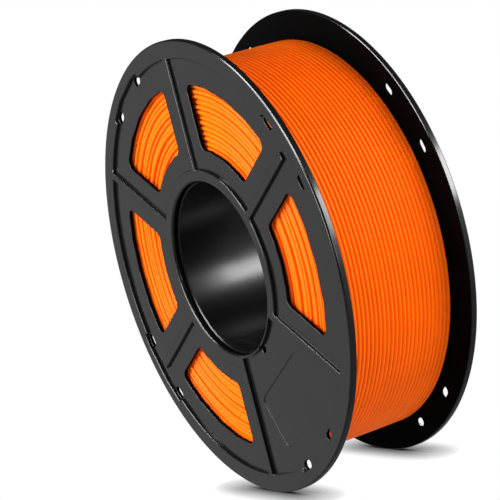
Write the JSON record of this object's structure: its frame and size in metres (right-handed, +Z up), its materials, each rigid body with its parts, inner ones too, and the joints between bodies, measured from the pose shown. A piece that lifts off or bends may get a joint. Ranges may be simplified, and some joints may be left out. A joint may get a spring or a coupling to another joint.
{
  "type": "filament spool",
  "caption": "Filament spool: windowed flanges snapped onto a hub tube and wound full of filament; it turns on a spindle through its bore.",
  "frame": {"origin": "on the axis of the bore, midway between the flanges", "axes": "+Y along the axis of the bore, from the label side of the front flange towards the rear flange; +Z up as the spool stands on its rims in the picture"},
  "size_m": [0.2, 0.0624, 0.2],
  "materials": {
    "flange_plastic": "satin black moulded plastic",
    "hub_plastic": "polished black moulded plastic",
    "filament": "satin orange extruded strand"
  },
  "bodies": {
    "root": {"front_flange": "flange_plastic", "rear_flange": "flange_plastic", "hub_tube": "hub_plastic", "filament_inner_layers": "filament", "filament_outer_layer": "filament"}
  },
  "joints": []
}
